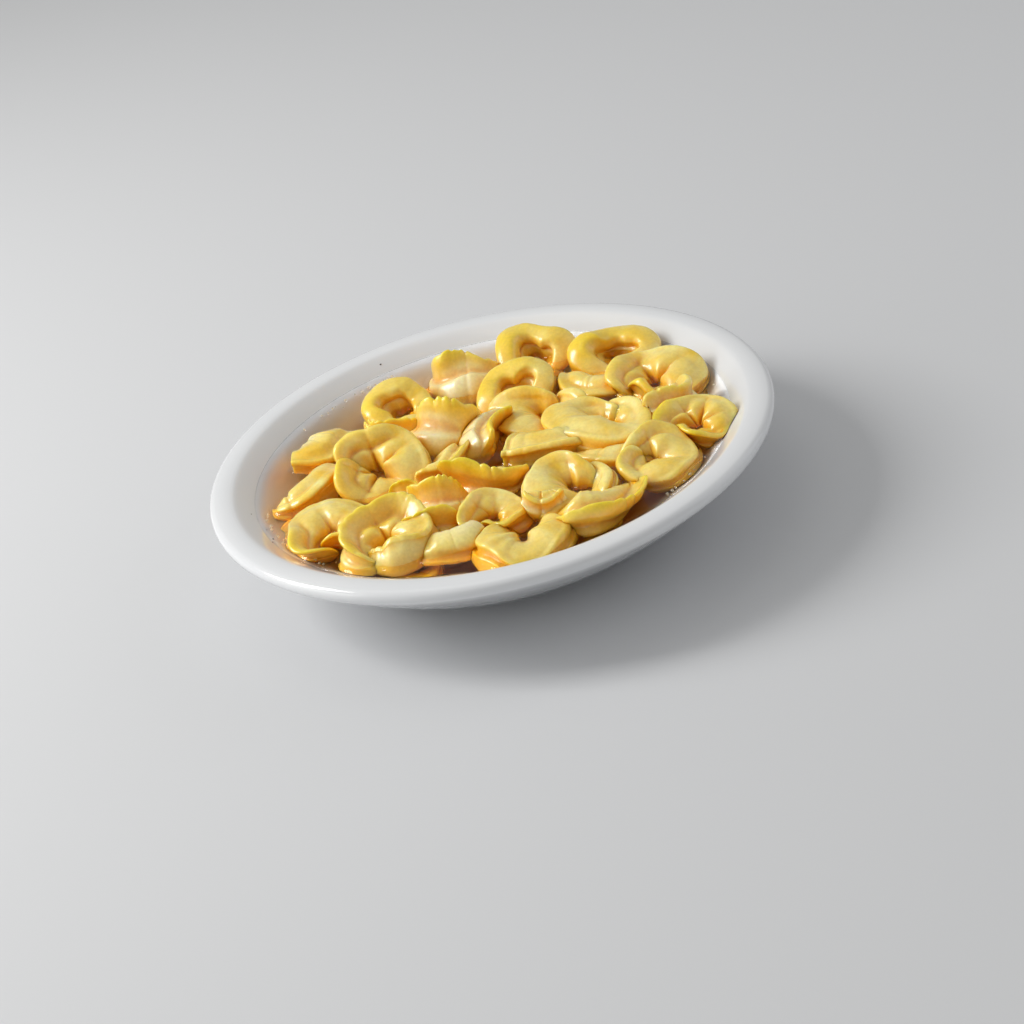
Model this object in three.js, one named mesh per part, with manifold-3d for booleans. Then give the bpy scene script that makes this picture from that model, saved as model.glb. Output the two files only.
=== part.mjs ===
// Tortellini in broth, served in a narrow-rimmed white porcelain soup bowl.
// Millimetres, +Z up. The origin lies under the middle of the bowl, on the surface it stands on.
import * as THREE from 'three';
import { ConvexGeometry } from 'three/addons/geometries/ConvexGeometry.js';
import { mergeVertices } from 'three/addons/utils/BufferGeometryUtils.js';
import Module from 'manifold-3d';

// ---- driving dimensions ----------------------------------------------------------------------

const BOWL_RADIUS = 103;
const BOWL_HEIGHT = 38;
const RIM_INNER_RADIUS = 94.4; // where the flat rim turns down into the well
const RIM_EDGE = 1.8; // roundness of the rim's outer edge
const LIP_DEPTH = 5; // height of the rim's outer edge
const FOOT_RADIUS = 54;
const FOOT_WIDTH = 3.5;
const FOOT_HEIGHT = 2.5;
const BODY_CURVE = 1.25; // how far the underside bulges between foot and lip
const WELL_FLOOR = 5.5; // height of the well's floor
const BOWL_SEGMENTS = 40;

const BROTH_LEVEL = 31.5;
const GAP = 0.35; // clearance between pieces that touch

const CUTS_ALONG = 13; // cross-sections along the strip of a dumpling bent into a ring
const CUTS_SHORT = 9; // and along one that stays open
const SECTION_STOPS = [0.4, 2, 4, 6, 7.7, 10, 11, 12.8]; // corners kept of a cross-section
const SECTION_POINTS = 14;

// A dumpling is a filled strip bent round, its sealed edge standing up as a brim.
// ring: middle-line radius; belly and arm: radius of the filled tube in the middle and at the ends;
// brim and armBrim: height of the sealed edge; lean and curl: degrees outwards; thick: brim thickness;
// spread: how far round the filling reaches; lap: overlap of the ends, radians (below 0 the ring stays open);
// rise: lift of the ends; blunt: 3 gives pointed ends, 12 square ones; stack: how far crossed ends part;
// flat: 1 presses the ends flat; peak: height of a pointed corner; twist: lean added toward one end;
// pleat and pleats: depth and number of the folds round the hole; square: 1 squares the tube; oval: stretch;
// swellAt and brimAt: how far from the middle the filling is fullest and the brim highest, radians.
const ROUND = { rise: 0.6, stack: 1.6, lap: 0.22, flat: 0.3, peak: 0, twist: 0, pleat: 1.5, pleats: 3,
  square: 0, oval: 0, swellAt: 0, brimAt: 0 };
const SHORT = { ...ROUND, rise: 0, stack: 0, flat: 0, pleat: 0 };
const KINDS = {
  ring: { ...ROUND, ring: 7.6, belly: 7, arm: 6, brim: 0.9, armBrim: 1.6, lean: 50, curl: 60,
    thick: 4.2, spread: 1.7, blunt: 7 },
  pocket: { ...ROUND, ring: 9, belly: 5.8, arm: 6, brim: 3.6, armBrim: 2.4, lean: 10, curl: 0,
    thick: 7, spread: 2.2, blunt: 5, flat: 0.1, pleat: 0, oval: 0.04 },
  star: { ...ROUND, ring: 7.8, belly: 7.2, arm: 6.4, brim: 0.9, armBrim: 2.4, lean: 55, curl: 40,
    thick: 3.6, spread: 1.7, blunt: 8, peak: 0.5, pleat: 3 },
  leaf: { ...ROUND, ring: 7.8, belly: 7, arm: 6, brim: 0.9, armBrim: 1.8, lean: 50, curl: 60,
    thick: 4.2, spread: 1.7, lap: 0.45, blunt: 2.6, flat: 0, oval: 0.12 },
  flap: { ...ROUND, ring: 7, belly: 6.8, arm: 5.8, brim: 1.4, armBrim: 4.2, lean: 50, curl: 40,
    thick: 2.6, spread: 1.7, lap: 0.35, blunt: 12, flat: 0.7, stack: 2.4 },
  hat: { ...SHORT, ring: 12, belly: 8, arm: 4.6, brim: 6.4, armBrim: 3, lean: 14, curl: 10,
    thick: 1.8, spread: 0.9, lap: -1.75, blunt: 3.2, flat: 0.4, peak: 0.1, pleat: 1.2 },
  frill: { ...SHORT, ring: 12, belly: 6.8, arm: 5.2, brim: 5.4, armBrim: 2.6, lean: 10, curl: -10,
    thick: 1.8, spread: 1.2, lap: -1.9, blunt: 3.6, flat: 0.4, peak: 0.1 },
  box: { ...SHORT, ring: 11, belly: 7.6, arm: 6.6, brim: 2.4, armBrim: 2.2, lean: 40, curl: -10,
    thick: 2.4, spread: 1.8, lap: -1.95, blunt: 14, flat: 0.25, peak: 0.6, twist: 25, square: 1 },
  pillow: { ...SHORT, ring: 16, belly: 7.8, arm: 6.4, brim: 1.4, armBrim: 2.2, lean: 50, curl: 60,
    thick: 3, spread: 1.3, lap: -2.1, blunt: 5, peak: 0.5, twist: 25 },
};

// One row for each dumpling, nearest and topmost first:
// x, y, lift over the broth, compass of the belly, tilt, compass of the tilt, size, kind, own settings.
const HEAP = [
  [3, -72, -3.5, 262, 4, 270, 1.12, 'ring', { lap: -0.5, blunt: 4, belly: 8.2, arm: 7.6, brim: 0.6,
    armBrim: 0.8, stack: 0, pleat: 1.2, flat: 0.1, oval: 0.06 }],
  [31, -62, 1, 294, -4, 280, 1.05, 'frill', { lean: 76, curl: -70, belly: 9.2, arm: 4.8, brim: 6,
    spread: 0.75, swellAt: -0.55, brimAt: 0.4, ring: 13 }],
  [-42, -56, 0, 43, 6, 260, 1.14, 'leaf', { oval: -0.12, belly: 8.2, arm: 7.2, brim: 4.6, brimAt: 1.5,
    armBrim: 1.2, lean: 25, curl: 30, thick: 2.2, pleat: 2.2, pleats: 5, lap: 0.5, blunt: 3 }],
  [-19, -65, 1.5, 277, 4, 250, 0.85, 'box', { lean: 115, brim: 2, armBrim: 2, belly: 7.4, arm: 7.2,
    twist: 0, ring: 24, lap: -2.6, peak: 0 }],
  [-60, -37, -2, 75, 10, 270, 1.2, 'flap', { brim: 0.8, belly: 7.2 }],
  [53, -41, -1.5, 325, 10, 268, 1.02, 'star', { armBrim: 3.2, peak: 0, lap: 0.4 }],
  [25, -47, -1, 210, 18, 275, 1.25, 'leaf', { oval: 0.15 }],
  [-5, -53, -1, 50, 18, 270, 0.92, 'flap', { armBrim: 3.6, lean: 35 }],
  [13, -56, 3.5, 262, 14, 270, 0.72, 'box', { lean: 20, peak: 0, twist: 0, lap: -2.3 }],
  [-26, -46, -1.5, 219, -15, 250, 0.95, 'frill', { lean: 40, curl: -10 }],
  [-22, -34, -1.5, 243, -8, 243, 0.95, 'frill', { lean: 2, peak: 0.3, armBrim: 2 }],
  [-3, -27, 0.5, 248, 0, 240, 0.92, 'frill', { belly: 8.4, lean: 46, curl: -50, brim: 7, peak: 0.2 }],
  [-41, -1, 0, 330, 28, 265, 1.2, 'star', { armBrim: 5, peak: 0.8, pleat: 4, pleats: 5 }],
  [42, -9, 0, 228, 4, 275, 1.28, 'leaf', { oval: 0.22, lap: 0.55, belly: 8, arm: 6.4 }],
  [-1, 4, 2, 150, 0, 330, 1, 'box', { belly: 6.6, arm: 6.2, brim: 5, armBrim: 4, lean: -58, curl: 40,
    twist: 0, peak: 0, ring: 30, lap: -2.7 }],
  [18, -14, 1.5, 266, 6, 270, 1.05, 'box', { ring: 24, lap: -2.6, belly: 7.2, arm: 6.8, lean: 60, brim: 1.4,
    armBrim: 1.4, square: 0.7, twist: 0, flat: 0 }],
  [-19, -9, -1, 321, 5, 270, 0.95, 'box', { brim: 2.4 }],
  [64, 17, -2, 20, 14, 262, 1.15, 'star', { peak: 0.6, armBrim: 4.5, pleats: 4 }],
  [72, -24, -1.5, 19, 15, 260, 1, 'flap', { pleat: 2.6, pleats: 6, square: 0.6 }],
  [64, -9, 1.5, 318, 5, 300, 1, 'box', { belly: 7.4, lean: 10 }],
  [22, 9, -1.5, 225, 14, 270, 1.3, 'ring', { oval: 0.16 }],
  [-13, 17, -1, 242, 0, 250, 1.25, 'hat', { brim: 3.8, belly: 9, armBrim: 0.8, peak: 0.7, lean: -4,
    curl: -14 }],
  [15, 35, -2, 110, 28, 262, 1, 'pocket', { peak: 0.4 }],
  [26, 60, -2.5, 120, 26, 268, 1.08, 'pocket'],
  [-67, -1, -1, 318, 4, 270, 1, 'pillow', { blunt: 3.4 }],
  [-63, 28, 0.5, 306, 4, 250, 1, 'box', { lap: -2.2, belly: 8, arm: 7.2, brim: 1.4, armBrim: 1, lean: 70,
    curl: 20, twist: 0 }],
  [55, 45, -3.5, 110, 16, 262, 1.08, 'pocket', { peak: 0.5 }],
  [-3, 56, -1, 250, 0, 262, 1.15, 'hat', { brim: 3.4, belly: 8.6, armBrim: 0.8, peak: 0.7, lean: -4,
    curl: -14 }],
  [-29, 43, -1.5, 150, 22, 270, 0.98, 'pocket'],
  [42, 28, -1.5, 237, 4, 270, 0.95, 'pillow'],
  [42, -30, -2.5, 258, 5, 270, 1, 'pillow', { brim: 1.2, armBrim: 1.2 }],
  [-33, -25, 1.5, 45, 10, 270, 0.5, 'frill'],
  [-32, 22, 0, 250, 0, 270, 0.9, 'frill'],
];

// ---- materials -------------------------------------------------------------------------------

const porcelain = new THREE.MeshStandardMaterial({ color: '#e4e7ea', roughness: 0.15, metalness: 0 });
const broth = new THREE.MeshStandardMaterial({ color: '#b98a4a', roughness: 0.05, metalness: 0 });
const pasta = new THREE.MeshStandardMaterial({ color: '#ecca5a', roughness: 0.35, metalness: 0 });

// ---- solids ----------------------------------------------------------------------------------

const wasm = await Module();
wasm.setup();

/** A closed geometry as a solid that can be cut and joined. */
function toSolid(geometry) {
  const bare = geometry.clone();
  bare.deleteAttribute('normal');
  bare.deleteAttribute('uv');
  const merged = mergeVertices(bare, 1e-4);
  return new wasm.Manifold(new wasm.Mesh({
    numProp: 3,
    vertProperties: new Float32Array(merged.attributes.position.array),
    triVerts: new Uint32Array(merged.index.array),
  }));
}

/** The largest single body of a solid, as a geometry. */
function toGeometry(solid) {
  const body = solid.decompose().reduce((a, b) => (b.volume() > a.volume() ? b : a));
  const mesh = body.getMesh();
  const geometry = new THREE.BufferGeometry();
  geometry.setAttribute('position', new THREE.BufferAttribute(mesh.vertProperties, 3));
  geometry.setIndex(new THREE.BufferAttribute(mesh.triVerts, 1));
  geometry.computeVertexNormals();
  return geometry;
}

// ---- bowl ------------------------------------------------------------------------------------

/** An outline of radius and height, turned about the upright axis. */
function turned(outline) {
  return new THREE.LatheGeometry(outline, BOWL_SEGMENTS).rotateX(Math.PI / 2);
}

/** The well's wall from the middle of the floor up to the rim, moved inwards by an inset. */
function wellOutline(inset) {
  const wall = new THREE.SplineCurve([
    new THREE.Vector2(40, WELL_FLOOR),
    new THREE.Vector2(60, WELL_FLOOR + 5),
    new THREE.Vector2(76, WELL_FLOOR + 17),
    new THREE.Vector2(85.5, BROTH_LEVEL),
    new THREE.Vector2(RIM_INNER_RADIUS, BOWL_HEIGHT),
  ]);
  const inwards = new THREE.Vector2(-0.7 * inset, 0.8 * inset);
  const points = wall.getPoints(8).map((point) => point.clone().add(inwards));
  return [new THREE.Vector2(0, points[0].y), ...points];
}

/** The underside from the lip down to the foot. */
function bodyOutline() {
  const steps = 5;
  const lipBottom = BOWL_HEIGHT - LIP_DEPTH;
  const points = [];
  for (let step = 0; step <= steps; step += 1) {
    const part = 1 - step / steps;
    const radius = FOOT_RADIUS + 1 + part * (BOWL_RADIUS - 1 - FOOT_RADIUS - 1);
    points.push(new THREE.Vector2(radius, FOOT_HEIGHT + part ** BODY_CURVE * (lipBottom - FOOT_HEIGHT)));
  }
  return points;
}

function makeBowl() {
  const edge = new THREE.EllipseCurve(
    BOWL_RADIUS - RIM_EDGE, BOWL_HEIGHT - RIM_EDGE, RIM_EDGE, RIM_EDGE, Math.PI / 2, 0, true);
  const footInner = FOOT_RADIUS - FOOT_WIDTH;
  const outline = [
    ...wellOutline(0),
    ...edge.getPoints(2),
    ...bodyOutline(),
    new THREE.Vector2(FOOT_RADIUS, 0),
    new THREE.Vector2(footInner, 0),
    new THREE.Vector2(footInner - 1, FOOT_HEIGHT - 1),
    new THREE.Vector2(0, FOOT_HEIGHT - 1),
  ];
  return turned(outline.reverse());
}

/** The room inside the well, clear of its wall, up to a height. */
function makeRoom(top) {
  const outline = wellOutline(GAP).filter((point) => point.y < top - 0.5);
  const last = outline[outline.length - 1];
  const wall = wellOutline(GAP);
  const next = wall[outline.length] ?? new THREE.Vector2(last.x, top);
  const part = Math.min(1, (top - last.y) / Math.max(next.y - last.y, 0.001));
  const edge = new THREE.Vector2(last.x + part * (next.x - last.x), top);
  return turned([...outline, edge, new THREE.Vector2(0, top)]);
}

// ---- dumplings -------------------------------------------------------------------------------

/** A fixed fraction from 0 to 1 for a dumpling and one of its traits. */
function trait(dumpling, number) {
  const wave = Math.sin(dumpling * 12.9898 + number * 78.233) * 43758.5453;
  return wave - Math.floor(wave);
}

/** A slow wave round the ring, its phase different for each dumpling and trait. */
function wave(dumpling, number, angle) {
  return Math.sin(angle + trait(dumpling, number + 50) * 2 * Math.PI);
}

/** Corner points of a cross-section: eight round the filled tube, six round the brim. */
function sectionCorners({ tube, brim, lean, curl, thick, press, stretch, square }) {
  const up = Math.PI / 2 - lean;
  const toward = (angle, length) =>
    new THREE.Vector2(Math.cos(angle), Math.sin(angle)).multiplyScalar(length);
  const side = (angle, length) => toward(angle + Math.PI / 2, length);
  const corners = [];
  for (let k = 1; k <= 8; k += 1) {
    const turn = THREE.MathUtils.degToRad(40 * k);
    const radius = 1.085 * tube * (1 - 0.13 * square * Math.cos(4 * turn));
    const along = toward(up, radius * Math.cos(turn) * stretch);
    corners.push(along.add(side(up, -radius * Math.sin(turn) * press)));
  }
  const edge = thick * Math.sqrt(press);
  const root = toward(up, 1.063 * tube * stretch);
  const middle = root.clone().add(toward(up, brim * 0.5));
  const tip = middle.clone().add(toward(up - curl, brim * 0.68));
  corners.push(root.clone().add(side(up, edge * 0.7)));
  corners.push(middle.clone().add(side(up, edge * 0.6)));
  corners.push(tip.clone().add(side(up - curl, edge * 0.5)));
  corners.push(tip.clone().add(side(up - curl, -edge * 0.5)));
  corners.push(middle.clone().add(side(up, -edge * 0.6)));
  corners.push(root.clone().add(side(up, -edge * 0.7)));
  return corners;
}

/** A point of the smooth closed curve that the corners pull on. */
function smoothPoint(corners, stop) {
  const first = Math.floor(stop);
  const f = stop - first;
  const pulls = [(1 - f) ** 3, 3 * f ** 3 - 6 * f ** 2 + 4, -3 * f ** 3 + 3 * f ** 2 + 3 * f + 1, f ** 3];
  const point = new THREE.Vector2();
  pulls.forEach((pull, k) => {
    point.addScaledVector(corners[(first + k - 1 + SECTION_POINTS) % SECTION_POINTS], pull / 6);
  });
  return point;
}

/** The cross-section's measures at an angle round the ring. */
function sectionAt(kind, dumpling, along, angle) {
  const { smoothstep, degToRad } = THREE.MathUtils;
  const filled = Math.exp(-(((angle - kind.swellAt) / kind.spread) ** 2));
  const tube = (kind.arm + (kind.belly - kind.arm) * filled)
    * (1 + 0.07 * wave(dumpling, 1, 2 * angle) + 0.05 * wave(dumpling, 2, 3 * angle));
  const fromTop = angle - kind.brimAt;
  const front = smoothstep(Math.cos(fromTop / 1.1), -0.6, 0.8);
  const corner = Math.max(0, 1 - Math.abs(fromTop - 0.5 * wave(dumpling, 13, 0)) / 1.9);
  const height = kind.armBrim + (kind.brim - kind.armBrim) * front
    + kind.peak * kind.brim * (1.1 * corner ** 1.5 - 0.35);
  const brim = Math.max(0.6, height)
    * (1 + 0.16 * wave(dumpling, 3, 1.5 * angle) + 0.1 * wave(dumpling, 4, 3 * angle));
  const leaning = 0.35 + 0.65 * smoothstep(Math.cos(angle), -0.9, 0.3);
  const lean = kind.lean * leaning + kind.twist * along
    + 10 * wave(dumpling, 5, 2 * angle) + 6 * wave(dumpling, 6, 4 * angle);
  const curl = kind.curl * (1 + 0.4 * wave(dumpling, 7, 2 * angle));
  const thick = kind.thick * (1 + 0.1 * wave(dumpling, 8, 3 * angle));
  const end = smoothstep(Math.abs(along), 0.4, 0.9);
  const press = 1 - kind.flat * end;
  const stretch = 1 + 0.3 * kind.flat * end;
  return {
    tube, brim, lean: degToRad(lean), curl: degToRad(curl), thick, press, stretch, square: kind.square,
  };
}

/** Moves a point of a cross-section in or out to make the folds that gather round the hole. */
function gather(point, kind, dumpling, tube, angle) {
  const { smoothstep } = THREE.MathUtils;
  const lobe = Math.abs(wave(dumpling, 15, kind.pleats * angle / 2)) ** 0.6 - 0.7;
  const inner = smoothstep(-point.x / tube, -0.3, 0.9) * smoothstep(point.y / tube, -0.6, 0.4);
  point.x -= kind.pleat * lobe * inner;
  const top = smoothstep(point.y / tube, 0.2, 1.2) * smoothstep(-point.x / tube, -1.3, 0.3);
  point.y += 0.6 * kind.pleat * lobe * top;
}

/** A point of a dumpling: along from -1 to 1 on its strip, stop round its cross-section. */
function dumplingPoint(kind, dumpling, along, stop) {
  const reach = Math.PI + kind.lap;
  const angle = along * reach;
  const turn = Math.abs(angle);
  const section = sectionAt(kind, dumpling, along, angle);
  const taper = Math.sqrt(Math.max(0, 1 - Math.abs(along) ** kind.blunt));
  const cut = smoothPoint(sectionCorners(section), stop).multiplyScalar(taper);
  gather(cut, kind, dumpling, section.tube, angle);

  const aside = Math.sign(along) * kind.stack * THREE.MathUtils.smoothstep(turn, 2.1, 2.9);
  const unround = 0.05 * wave(dumpling, 9, 2 * angle) + 0.04 * wave(dumpling, 10, 3 * angle);
  const middle = kind.ring * (1 + unround) + aside;
  const hole = 1.1;
  const soft = 1.5;
  let radius = middle + cut.x;
  if (radius < hole + soft) radius = hole + soft * Math.exp((radius - hole - soft) / soft);
  const uneven = 0.05 * (2 * trait(dumpling, 11) - 1);
  return new THREE.Vector3(
    radius * Math.sin(angle) * (1 + kind.oval + uneven),
    -radius * Math.cos(angle) * (1 - 0.7 * kind.oval - uneven) + kind.ring * Math.sin(reach) / reach,
    cut.y + kind.rise * (turn / Math.PI) ** 2 + 0.6 * wave(dumpling, 12, 2 * angle));
}

/** A dumpling at its size about its own middle: a sphere's net drawn out along the strip. */
function makeDumpling(kind, dumpling, size) {
  const sides = SECTION_STOPS.length;
  const cuts = kind.lap < 0 ? CUTS_SHORT : CUTS_ALONG;
  const geometry = new THREE.SphereGeometry(1, sides, cuts);
  const position = geometry.attributes.position;
  for (let row = 0; row <= cuts; row += 1) {
    for (let column = 0; column <= sides; column += 1) {
      const along = 1 - (2 * row) / cuts;
      const point = dumplingPoint(kind, dumpling, along, SECTION_STOPS[column % sides]);
      point.multiplyScalar(size);
      position.setXYZ(row * (sides + 1) + column, point.x, point.y, point.z);
    }
  }
  geometry.deleteAttribute('normal');
  geometry.deleteAttribute('uv');
  return mergeVertices(geometry, 1e-4);
}

/** The same skin pushed out by an allowance. */
function swollen(geometry, allowance) {
  const grown = geometry.clone();
  grown.computeVertexNormals();
  const { position, normal } = grown.attributes;
  for (let k = 0; k < position.count; k += 1) {
    position.setXYZ(k,
      position.getX(k) + allowance * normal.getX(k),
      position.getY(k) + allowance * normal.getY(k),
      position.getZ(k) + allowance * normal.getZ(k));
  }
  grown.deleteAttribute('normal');
  return grown;
}

/** Where a dumpling lies: its belly turned to a compass direction, then the ring tipped toward another. */
function placeOf([x, y, lift, faces, tilt, toward]) {
  const place = new THREE.Object3D();
  const heading = THREE.MathUtils.degToRad(toward);
  const hinge = new THREE.Vector3(-Math.sin(heading), Math.cos(heading), 0);
  const tip = new THREE.Quaternion().setFromAxisAngle(hinge, THREE.MathUtils.degToRad(tilt));
  const spin = new THREE.Quaternion().setFromAxisAngle(
    new THREE.Vector3(0, 0, 1), THREE.MathUtils.degToRad(faces + 90));
  place.quaternion.multiplyQuaternions(tip, spin);
  place.position.set(x, y, BROTH_LEVEL + lift);
  place.updateMatrix();
  return place;
}

/** The outer hull of a geometry's corners. */
function hullOf(geometry) {
  const corners = [];
  const { position } = geometry.attributes;
  for (let k = 0; k < position.count; k += 1) {
    corners.push(new THREE.Vector3().fromBufferAttribute(position, k));
  }
  return new ConvexGeometry(corners);
}

// ---- assembly --------------------------------------------------------------------------------

const dish = new THREE.Group();
dish.name = 'tortellini_in_broth';

const bowl = new THREE.Mesh(makeBowl(), porcelain);
bowl.name = 'bowl';
dish.add(bowl);

const tortellini = new THREE.Group();
dish.add(tortellini);
const room = toSolid(makeRoom(BOWL_HEIGHT + 30));
let liquid = toSolid(makeRoom(BROTH_LEVEL));
const laid = [];
HEAP.forEach((row, index) => {
  const number = index + 1;
  const place = placeOf(row);
  const kind = { ...KINDS[row[7]], ...row[8] };
  const whole = makeDumpling(kind, number, row[6]).applyMatrix4(place.matrix);
  const grown = toSolid(swollen(whole, GAP));
  let body = toSolid(whole).intersect(room);
  for (const earlier of laid) body = body.subtract(earlier);
  laid.push(grown);
  liquid = liquid.subtract(toSolid(hullOf(swollen(whole, GAP))));
  const shape = toGeometry(body).applyMatrix4(place.matrix.clone().invert());
  const mesh = new THREE.Mesh(shape, pasta);
  mesh.name = `tortellino_${String(number).padStart(2, '0')}`;
  mesh.position.copy(place.position);
  mesh.quaternion.copy(place.quaternion);
  tortellini.add(mesh);
});

const soup = new THREE.Mesh(toGeometry(liquid), broth);
soup.name = 'broth';
dish.add(soup);

export default dish;
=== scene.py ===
"""Tortellini in clear broth, in a narrow-rimmed white porcelain soup bowl.

Lengths are in millimetres until a mesh is made, and in metres from there on. +Z is up, and the origin
lies under the middle of the bowl.
"""

import math

import bmesh
import bpy
import numpy as np
from mathutils import Matrix, Vector
from mathutils.bvhtree import BVHTree


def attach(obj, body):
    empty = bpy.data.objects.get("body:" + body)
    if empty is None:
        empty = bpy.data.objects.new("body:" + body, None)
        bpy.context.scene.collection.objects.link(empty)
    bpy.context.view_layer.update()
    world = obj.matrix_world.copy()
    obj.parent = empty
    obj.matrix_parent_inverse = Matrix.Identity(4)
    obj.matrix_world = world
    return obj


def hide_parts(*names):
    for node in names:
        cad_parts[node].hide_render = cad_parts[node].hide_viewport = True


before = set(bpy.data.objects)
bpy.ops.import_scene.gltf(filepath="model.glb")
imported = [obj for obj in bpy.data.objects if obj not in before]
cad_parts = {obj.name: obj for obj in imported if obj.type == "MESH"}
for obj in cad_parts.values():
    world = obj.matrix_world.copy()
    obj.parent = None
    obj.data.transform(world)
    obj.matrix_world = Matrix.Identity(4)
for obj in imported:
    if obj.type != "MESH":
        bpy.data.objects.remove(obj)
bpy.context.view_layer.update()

MM = 0.001

# ---- sizes -------------------------------------------------------------------------------------

# The bowl's section as radius and height: the well's floor and wall, the rim, the underside's two ends
# with the bulge between them, and the foot ring with the hollow inside it.
WELL_FLOOR = 5.5
FLOOR_RADII = (12, 26)
WELL_WALL = [(40, 5.5), (60, 10.5), (76, 22.5), (85.5, 31.5), (92.6, 36.9), (95.2, 38)]
WALL_STEPS = 7
RIM = [(98, 38), (100.6, 37.95), (102.1, 37.4), (102.9, 36.3), (103, 35), (102.7, 33.8), (102, 33)]
UNDERSIDE_TOP = (101.9, 32.8)
UNDERSIDE_FOOT = (55, 2.5)
UNDERSIDE_CURVE = 1.25
FOOT = [(54.3, 2.3), (54, 0.6), (53.4, 0), (51.1, 0), (50.5, 0.6), (49.5, 1.5), (30, 1.5), (10, 1.5)]
BOWL_FACETS = 192

BROTH_LEVEL = 31.5
POOL_RADIUS = 87.2  # where the skin of the broth ends, a little way up the wall
POOL_RINGS = 144
POOL_FACETS = 520
INTO_WALL = 0.25  # how far the broth's sides and floor reach into the porcelain, so that no air shows
INTO_FLOOR = 0.2
MENISCUS = 2.6  # how high the broth climbs up a dumpling, and how fast that dies away
MENISCUS_REACH = 2
WALL_MENISCUS = 1.5  # the same at the well's wall
WALL_REACH = 1.3

GAP = 0.35  # clearance of the dumplings to the porcelain
PRESS_GAP = 0.15  # clearance between dumplings that press on each other
PRESS_DEPTH = 9  # the deepest dent that one dumpling may make in another
UNEVEN_SIZE = 7  # size and height of a dumpling's soft handmade unevenness
UNEVEN_HEIGHT = 0.7
HOLE = 1.1  # no skin comes nearer to the middle of a ring than this, and it slows down over HOLE_EASE
HOLE_EASE = 1.5
LIP = 0.92  # an open end's lip, as a share of the strip's half length
FILLED_TINT = 0.75  # how far the skin turns pale over the filling
FOLD_SHADE_TINT = 0.55  # how far a fold is painted amber as shade, over these depths
FOLD_DEPTHS = (0.05, 0.6)
DUMPLING_NET = (72, 150)  # points round the cross-section and along the strip
SUNK_NET = (40, 72)
SUNK_SEED = 40  # the traits of the sunk dumplings are counted on from here

# Places round a cross-section, counted in its corners: the middle of the outer side, the cut edge of the
# brim, and the grooves on both sides where the brim leaves the tube.
SECTION_CORNERS = 14
OUTER_SIDE = 2
CUT_EDGE = 10.5
GROOVES = (7.55, 13.45)
GROOVE_WIDTH = 0.5
GROOVE_DEPTH = 0.17  # as a share of the radius

# A dumpling is a filled strip bent round, its sealed edge standing up as a brim.
# ring: middle-line radius; belly and arm: radius of the filled tube in the middle and at the ends;
# brim and arm_brim: height of the sealed edge; lean and curl: degrees outwards; thick: brim thickness;
# spread: how far round the filling reaches; lap: overlap of the ends, radians (below 0 it stays open);
# rise: lift of the ends; blunt: 3 gives pointed ends, 12 square ones; stack: how far crossed ends part;
# flat: 1 presses the ends flat; peak: height of a pointed corner; twist: lean added toward one end;
# pleat and pleats: depth and number of the folds round the hole; square: 1 squares the tube;
# oval: stretch; scallop: height of the cut edge's waves; crease: depth of the valleys across;
# mouth: depth of an open end; swell_at and brim_at: how far round from the middle, in radians, the
# filling is fullest and the brim highest.
ROUND = dict(rise=0.6, stack=1.6, lap=0.22, flat=0.3, peak=0, twist=0, pleat=1.5, pleats=3, square=0,
             oval=0, scallop=0, crease=0.05, mouth=0, swell_at=0, brim_at=0)
SHORT = dict(ROUND, rise=0, stack=0, flat=0, pleat=0)
KINDS = {
    "ring": dict(ROUND, ring=7.6, belly=7, arm=6, brim=0.9, arm_brim=1.6, lean=50, curl=60, thick=4.2,
                 spread=1.7, blunt=7),
    "pocket": dict(ROUND, ring=9, belly=5.8, arm=6, brim=3.6, arm_brim=2.4, lean=10, curl=0, thick=7,
                   spread=2.2, blunt=5, flat=0.1, pleat=0, oval=0.04, crease=0.02),
    "star": dict(ROUND, ring=7.8, belly=7.2, arm=6.4, brim=0.9, arm_brim=2.4, lean=55, curl=40,
                 thick=3.6, spread=1.7, blunt=8, peak=0.5, pleat=3),
    "leaf": dict(ROUND, ring=7.8, belly=7, arm=6, brim=0.9, arm_brim=1.8, lean=50, curl=60, thick=4.2,
                 spread=1.7, lap=0.45, blunt=2.6, flat=0, oval=0.12),
    "flap": dict(ROUND, ring=7, belly=6.8, arm=5.8, brim=1.4, arm_brim=4.2, lean=50, curl=40, thick=2.6,
                 spread=1.7, lap=0.35, blunt=12, flat=0.7, stack=2.4),
    "hat": dict(SHORT, ring=12, belly=8, arm=4.6, brim=6.4, arm_brim=3, lean=14, curl=10, thick=1.8,
                spread=0.9, lap=-1.75, blunt=3.2, flat=0.4, peak=0.1, pleat=1.2, scallop=0.5,
                crease=0.03),
    "frill": dict(SHORT, ring=12, belly=6.8, arm=5.2, brim=5.4, arm_brim=2.6, lean=10, curl=-10,
                  thick=1.8, spread=1.2, lap=-1.9, blunt=3.6, flat=0.4, peak=0.1, scallop=0.5,
                  crease=0.03),
    "box": dict(SHORT, ring=11, belly=7.6, arm=6.6, brim=2.4, arm_brim=2.2, lean=40, curl=-10, thick=2.4,
                spread=1.8, lap=-1.95, blunt=14, flat=0.25, peak=0.6, twist=25, square=1, mouth=1),
    "pillow": dict(SHORT, ring=16, belly=7.8, arm=6.4, brim=1.4, arm_brim=2.2, lean=50, curl=60, thick=3,
                   spread=1.3, lap=-2.1, blunt=5, peak=0.5, twist=25),
}

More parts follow.
